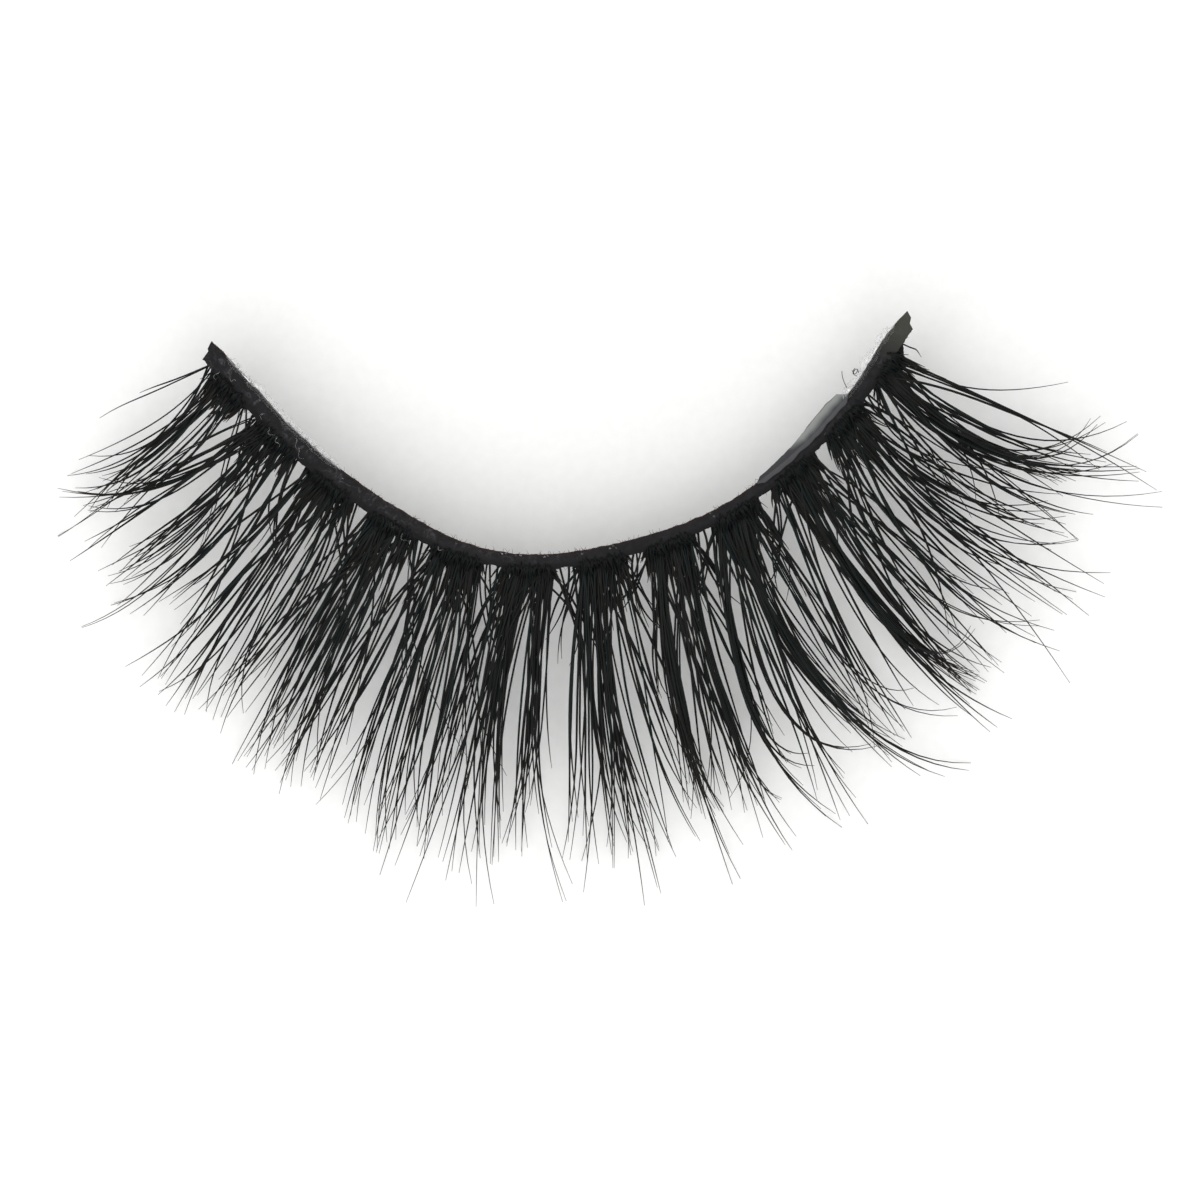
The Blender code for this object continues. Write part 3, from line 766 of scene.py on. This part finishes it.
def makeCord(material):
    plan = cordPlan
    count = int((bandLength - 2 * plan["start"]) / plan["step"])
    points, glues = [], []
    for s in np.linspace(plan["start"], bandLength - plan["start"], count + 1):
        low, high = plan["inset"], bandWidth(s) - plan["inset"] + knotAt(s)
        point, _, outward = edgeFrame(s)
        for k in range(plan["sides"]):
            angle = 2 * math.pi * k / plan["sides"]
            wind = abs(math.sin(math.pi * s / plan["windMm"] + 0.5 * angle))
            spot = Vector((s * 3.4, 2 * math.cos(angle), 2 * math.sin(angle)))
            grow = plan["relief"] * (0.5 * wind - 1 + noise.fractal(spot, 1.0, 2.0, 3))
            a = (low + high) / 2 + ((high - low) / 2 + 1.5 * grow) * squarer(math.cos(angle))
            z = (plan["thick"] / 2 + grow) * squarer(math.sin(angle))
            xy = point + outward * a
            points.append((xy[0], xy[1], bandUnder - plan["gap"] - plan["thick"] / 2 + z))
            glues.append(0.2 * readRows(bandPiece["glued"], s))
    bare = np.zeros(len(points))
    faces = tubeFaces(count + 1, plan["sides"], 0)
    values = {"rim": bare, "bare": bare, "glued": glues, "dyed": bare + 0.9}
    makePiece("root_cord", points, faces, material, ["lash_fringe"], values)

makeCord(cotton)
print("root cord is bound")

# Ties: the roots' own ends, looped over the tape's outer edge from its face down to the cord
tiePlan = {
    "count": 900,
    "clusterHalf": 0.95,
    "lastAlong": 1.7,  # no tie comes nearer to the band's right end
    "inside": (0.02, 0.3),  # how far in from the tape's outer edge a tie starts
    "length": (0.3, 0.7),
    "drop": (0.35, 0.6),
    "turn": 0.28,
    "bend": 0.05,
    "thick": 0.05,
    "rings": 7,
    "sides": 5,
    "seed": 19,
}

def makeTies(material):
    plan = tiePlan
    rng = random.Random(plan["seed"])
    t = np.linspace(0, 1, plan["rings"])
    tubes, tones = [], []
    for k in range(plan["count"]):
        middle = clusterRoot(1 + k % hairPlan["clusters"])
        along = middle + plan["clusterHalf"] * rng.triangular(-1, 1, rng.uniform(-1, 1))
        along = min(along, bandLength - plan["lastAlong"])
        point, ahead, outward = edgeFrame(along)
        inside = rng.uniform(*plan["inside"]) * rng.uniform(0.2, 1.0)
        start = point + outward * (bandWidth(along) - inside)
        angle = rng.gauss(0, plan["turn"])
        heading = outward * math.cos(angle) + ahead * math.sin(angle)
        length = rng.uniform(*plan["length"])
        bend = rng.gauss(0, plan["bend"])
        plane = start + np.outer(t * length, heading) + np.outer(t**2 * bend, ahead)
        over = np.clip((t * length - inside) / (length - inside), 0, 1)
        z = bandTop + 0.02 - 0.04 * np.clip(1 - t * length / 0.08, 0, 1)
        z = z - rng.uniform(*plan["drop"]) * over**1.2
        swell = 0.45 + 0.55 * np.sin(np.pi * np.clip(t + 0.15, 0, 1))
        thick = plan["thick"] * rng.uniform(0.7, 1.2) * swell
        tubes.append((np.column_stack([plane, z]), thick / 2))
        tones.append(rng.uniform(0, 0.8))
    points, faces = bundleTubes(tubes, plan["sides"])
    tones = np.repeat(tones, plan["rings"] * plan["sides"])
    values = {"tone": tones, "along": 0 * tones}
    makePiece("root_ties", points, faces, material, ["lash_fringe"], values)

makeTies(fibre)
print("roots are tied over")

# Dried clear lash glue: a stretched skin, see-through and glossy, with a painted white highlight along
# the band where it folded, and grey creases. Its patterns are stretched along the skin, in millimetres.
# The streak colour is a painted highlight: white laid on the folds where light glints off the skin.
glueLook = {"clear": "#e6e8e7", "paintedHighlight": "#ffffff", "line": "#8e8f8d", "stretch": (2.2, 3.2, 1.0)}

def clearGlue():
    look = glueLook
    material, tree, shader = newMaterial("clear_dried_glue")
    spread = addNode(tree, "CombineXYZ", {"Z": 0.0}, {"X": "along", "Y": "out"})
    drawn = addNode(tree, "VectorMath", {1: look["stretch"]}, {0: spread}, operation="MULTIPLY")
    folding = {"Scale": 1.6, "Detail": 5.0, "Distortion": 0.8}
    folds = addNode(tree, "TexNoise", folding, {"Vector": drawn})
    creasing = {"Scale": 2.6, "Detail": 6.0, "Roughness": 0.7, "Distortion": 1.5}
    ridge = addNode(tree, "TexNoise", creasing, {"Vector": drawn})
    folded = addNode(tree, "MapRange", {"From Min": 0.48, "From Max": 0.64}, {"Value": folds})
    near = addNode(tree, "ValToRGB", links={"Fac": "out"})
    setRamp(near, [(0.36, 0.0), (0.46, 1.0), (0.62, 0.7), (0.78, 0.05)])
    # Painted highlight: white, nearly opaque, laid on the folds near the band's edge where light glints off
    # the skin.
    foldHighlight = addNode(tree, "Math", links={0: folded, 1: "highlightAndPale"}, operation="MULTIPLY")
    white = addNode(tree, "Math", links={0: foldHighlight, 1: near}, operation="MULTIPLY")
    line = addNode(tree, "MapRange", {"From Min": 0.5, "From Max": 0.58, "To Max": 0.8}, {"Value": ridge})
    tones = {"A": look["clear"], "B": look["line"]}
    lined = addNode(tree, "Mix", tones, {"Factor": line}, data_type="RGBA")
    highlightShare = addNode(tree, "Math", {1: -0.9}, {0: line, 2: white}, operation="MULTIPLY_ADD", use_clamp=True)
    mixed = {"Factor": highlightShare, "A": lined}
    # Mixes the painted highlight's white into the skin's colour.
    colour = addNode(tree, "Mix", {"B": look["paintedHighlight"]}, mixed, data_type="RGBA")
    solid = addNode(tree, "Math", {1: 0.5}, {0: line}, operation="MULTIPLY")
    cover = addNode(tree, "Math", links={0: white, 1: solid}, operation="MAXIMUM")
    alpha = addNode(tree, "MapRange", {"To Min": 0.07, "To Max": 0.9}, {"Value": cover})
    lapped = addNode(tree, "ValToRGB", links={"Fac": "out"})
    setRamp(lapped, [(0.3, 0.12), (0.46, 1.0)])
    shown = addNode(tree, "Math", links={0: alpha, 1: lapped}, operation="MULTIPLY")
    relief = addNode(tree, "Bump", {"Strength": 0.5, "Distance": 0.02 * mm}, {"Height": ridge})
    links = {"Base Color": colour, "Alpha": shown, "Normal": relief}
    setNode(tree, shader, {"Roughness": 0.2, "IOR": 1.47}, links)
    return material

# The same glue dried thick: a smooth cloudy grey skin, almost black on the tape and pale further
# out, with a darker free edge
flapLook = {
    "tones": [
        (0.0, "#1c1d20"), (0.34, "#2d2e31"), (0.52, "#5a5c5c"), (0.72, "#7f817f"), (0.92, "#8b8d8a"),
        (1.0, "#454647"),
    ],
    "cloudMm": 1 / 1.5,
    "alpha": 0.93,
}

def cloudyGlue():
    look = flapLook
    material, tree, shader = newMaterial("thick_grey_dried_glue")
    place = addNode(tree, "NewGeometry")
    cloud = addNode(tree, "TexNoise", {"Scale": perMetre(look["cloudMm"]), "Detail": 4.0}, {"Vector": place})
    drift = addNode(tree, "MapRange", {"To Min": -0.12, "To Max": 0.12}, {"Value": cloud})
    moved = addNode(tree, "Math", links={0: "out", 1: drift}, operation="ADD")
    # On the thick skin the same numbers only set how pale it is, with no painted highlight.
    thinned = addNode(tree, "Math", links={0: moved, 1: "highlightAndPale"}, operation="MULTIPLY")
    tone = addNode(tree, "ValToRGB", links={"Fac": thinned})
    setRamp(tone, look["tones"])
    relief = addNode(tree, "Bump", {"Strength": 0.15, "Distance": 0.02 * mm}, {"Height": cloud})
    values = {"Alpha": look["alpha"], "Roughness": 0.3, "IOR": 1.47}
    setNode(tree, shader, values, {"Base Color": tone, "Normal": relief})
    return material

# The skins of glue. Distances run along the band from the skin's own end of it.
Film = namedtuple("Film", "name node side start end crinkle glue")
films = [
    Film("glue_skin_left", "glue_film_left", "left", 0.8, 7.0, 0.06, "clear"),
    Film("glue_skin_right", "glue_film_right", "right", 0.7, 4.2, 0.07, "clear"),
    Film("glue_flap_right", "glue_film_right", "right", 3.9, 8.8, 0.015, "cloudy"),
]
filmPlan = {
    "reach": {  # how far a skin stands out from the band's inner edge
        "left": [
            (0.8, 0.08), (1.3, 0.14), (1.75, 0.03), (2.1, 0.1), (2.6, 0.22), (3.2, 0.14), (3.6, 0.17),
            (4.6, 0.12), (5.4, 0.16), (7.0, 0.08),
        ],
        "right": [
            (0.7, 0.1), (1.1, 0.22), (1.8, 0.18), (2.5, 0.32), (3.1, 0.14), (3.9, 0.24), (4.7, 0.38),
            (5.6, 0.36), (6.6, 0.24), (8.0, 0.14), (8.8, 0.08),
        ],
    },
    # On the clear skins these numbers set how strong the painted white highlight on the folds is; on the
    # thick skin they set how pale it is.
    "highlightAndPale": {  # how white the folds are, and how pale the thick skin is
        "left": [
            (0.8, 0.35), (1.5, 0.5), (1.9, 0.9), (2.7, 1.0), (3.6, 0.7), (4.4, 0.45), (5.4, 0.25),
            (7.0, 0.05),
        ],
        "right": [(0.7, 0.9), (4.2, 0.9), (4.5, 1.0), (6.3, 1.0), (7.1, 0.35), (8.8, 0.15)],
    },
    "lip": 0.16,
    "gap": 0.05,
    "skin": 0.03,
    "bendAt": 0.04,  # how far past the band's edge a skin starts to fall
    "slope": 0.8,
    "ease": 0.3,  # stretch over which a skin narrows to each end
    "step": 0.03,
    "acrossPoints": 13,
}

# A folded skin from the band's face, over its inner edge, out to a ragged free edge
def makeFilm(film, material):
    plan = filmPlan
    distances = np.arange(film.start, film.end, plan["step"])
    points, alongs, outs, highlightAndPaleRows = [], [], [], []
    for d in distances:
        station = bandLength - d if film.side == "right" else d
        ease = min(1.0, (d - film.start) / plan["ease"] + 0.1, (film.end - d) / plan["ease"] + 0.1)
        ragged = film.crinkle * noise.fractal(Vector((d * 3.0, 2.0, 0.0)), 0.7, 2.0, 4)
        free = (plan["gap"] + readRows(plan["reach"][film.side], d) + ragged) * ease
        lip = plan["lip"] * ease * (1 + 0.4 * noise.noise(Vector((d * 2.0, 8.0, 0.0))))
        line = []
        for f in np.linspace(0, 1, plan["acrossPoints"]):
            across = lip - f * (lip + free)
            fall = max(0.0, -across - plan["bendAt"])
            z = bandTop + plan["gap"] + plan["skin"] / 2 - plan["slope"] * fall
            z += film.crinkle * f * noise.fractal(Vector((d * 3.0, f * 2.0, 9.0)), 0.8, 2.0, 3)
            line.append((across, z, f))
        for up in (1, -1):
            for across, z, f in line if up == 1 else line[::-1]:
                xy = bandSpot(station, across)
                points.append((xy[0], xy[1], z + up * plan["skin"] / 2))
                alongs.append(d)
                outs.append(f)
                # Strength of the painted highlight on the clear skins, paleness on the thick one.
                highlightAndPaleRows.append(readRows(plan["highlightAndPale"][film.side], d))
    faces = tubeFaces(len(distances), 2 * plan["acrossPoints"], 0)
    values = {"along": alongs, "out": outs, "highlightAndPale": highlightAndPaleRows}
    makePiece(film.name, points, faces, material, [film.node], values)

glueKinds = {"clear": clearGlue(), "cloudy": cloudyGlue()}
for film in films:
    makeFilm(film, glueKinds[film.glue])
print("glue skins are laid")

# Loose bits of hair caught in the glue by the right end: three places in the picture each
Bit = namedtuple("Bit", "startPx middlePx endPx thick")
bits = [
    Bit((842, 371), (843, 379), (847, 388), 0.03), Bit((853, 374), (856, 369), (859, 373), 0.03),
    Bit((852, 370), (855, 374), (858, 369), 0.025), Bit((855, 368), (853, 373), (857, 376), 0.025),
]
bitPlan = {"depth": 0.06, "rings": 10, "sides": 5}

def makeBits(material):
    plan = bitPlan
    t = np.linspace(0, 1, plan["rings"])
    level = np.full(plan["rings"], bandTop - plan["depth"])
    tubes = []
    for bit in bits:
        ends = [fromPicture(spot) for spot in (bit.startPx, bit.middlePx, bit.endPx)]
        path, _ = throughPoints(t, *ends)
        tubes.append((np.column_stack([path, level]), np.full(plan["rings"], bit.thick / 2)))
    points, faces = bundleTubes(tubes, plan["sides"])
    half = np.full(len(points), 0.5)
    values = {"tone": half, "along": half}
    makePiece("caught_hairs", points, faces, material, ["glue_film_right"], values)

makeBits(fibre)
print("loose hairs are caught")

# Crumbs and drawn threads of the same glue, dried to a thin white on the tape and the roots
whiteGlueLook = {"low": "#6f7173", "high": "#c9cbcc", "cloudMm": 1 / 12, "alpha": 0.17}

def driedGlue():
    look = whiteGlueLook
    material, tree, shader = newMaterial("white_dried_glue")
    place = addNode(tree, "NewGeometry")
    cloud = addNode(tree, "TexNoise", {"Scale": perMetre(look["cloudMm"]), "Detail": 3.0}, {"Vector": place})
    tone = addNode(tree, "ValToRGB", links={"Fac": cloud})
    setRamp(tone, [(0.35, look["low"]), (0.7, look["high"])])
    values = {"Alpha": look["alpha"], "Roughness": 0.35, "IOR": 1.47}
    setNode(tree, shader, values, {"Base Color": tone})
    return material

Crumb = namedtuple("Crumb", "along across size")
crumbRows = [
    (7.22, 0.23, 0.05), (13.95, 0.05, 0.07), (14.1, 0.02, 0.05), (14.66, 0.04, 0.07),
    (14.5, 0.06, 0.04), (15.56, 0.08, 0.07), (15.7, 0.05, 0.05), (16.06, 0.1, 0.04),
    (17.0, 0.12, 0.06), (18.08, 0.12, 0.07), (18.2, 0.06, 0.05), (18.3, 0.16, 0.04),
    (22.12, 0.04, 0.05), (22.2, 0.2, 0.05), (12.2, 0.12, 0.04), (5.6, 0.12, 0.04),
    (27.4, 0.3, 0.04), (2.9, 0.2, 0.05), (3.2, 0.12, 0.04), (2.1, 0.1, 0.05),
]
crumbs = [Crumb(*row) for row in crumbRows]
crumbPlan = {"long": 1.6, "lift": 0.015, "high": 0.02, "rough": 0.003, "rings": 5, "sides": 8, "seed": 5}

def makeCrumbs(material):
    plan = crumbPlan
    rng = random.Random(plan["seed"])
    points, faces = [], []
    for crumb in crumbs:
        faces += tubeFaces(plan["rings"], plan["sides"], len(points))
        for level in np.linspace(-1, 1, plan["rings"]):
            wide = math.sqrt(max(0.05, 1 - level**2)) * crumb.size / 2
            for k in range(plan["sides"]):
                angle = 2 * math.pi * k / plan["sides"]
                along = crumb.along + plan["long"] * wide * math.cos(angle)
                spot = bandSpot(along, crumb.across + wide * math.sin(angle))
                spot = spot + [rng.gauss(0, plan["rough"]), rng.gauss(0, plan["rough"])]
                points.append((*spot, bandTop + plan["lift"] + plan["high"] * level))
    makePiece("glue_crumbs", points, faces, material, ["glue_film_left"])

Thread = namedtuple("Thread", "along across length turn loops height")
threadRows = [
    (3.9, 0.62, 0.55, 0.2, 1.0, 0.05), (4.35, 0.66, 0.6, 0.5, 1.4, 0.05),
    (1.05, 0.6, 0.5, 0.9, 0.8, 0.05), (1.5, 0.5, 0.35, -0.6, 1.2, 0.05),
    (3.4, 0.4, 0.4, 1.2, 1.0, 0.05), (5.2, 0.4, 0.6, 0.0, 0.7, 0.05),
    (10.2, 0.72, 0.6, 0.4, 1.1, -0.12), (9.6, 0.6, 0.4, -0.2, 0.9, 0.0),
    (4.9, 0.2, 0.5, 0.1, 0.6, 0.05), (11.6, 0.5, 0.35, 0.2, 1.0, 0.04),
]
threads = [Thread(*row) for row in threadRows]
threadPlan = {"sway": 1.1, "thin": 0.012, "swell": 0.006, "rings": 24, "sides": 5}

def makeThreads(material):
    plan = threadPlan
    t = np.linspace(0, 1, plan["rings"])
    tubes = []
    for thread in threads:
        turn = thread.turn + plan["sway"] * np.sin(2 * math.pi * thread.loops * t)
        step = thread.length / (plan["rings"] - 1)
        spots = [(thread.along, thread.across)]
        for angle in turn[1:]:
            along, across = spots[-1]
            spots.append((along + step * math.cos(angle), across + step * math.sin(angle)))
        path = np.array([(*bandSpot(*spot), bandTop + thread.height) for spot in spots])
        tubes.append((path, plan["thin"] + plan["swell"] * np.sin(5 * t)))
    points, faces = bundleTubes(tubes, plan["sides"])
    makePiece("glue_threads", points, faces, material, ["glue_film_left"])

whiteGlue = driedGlue()
makeCrumbs(whiteGlue)
makeThreads(whiteGlue)
print("crumbs and threads of glue are laid")
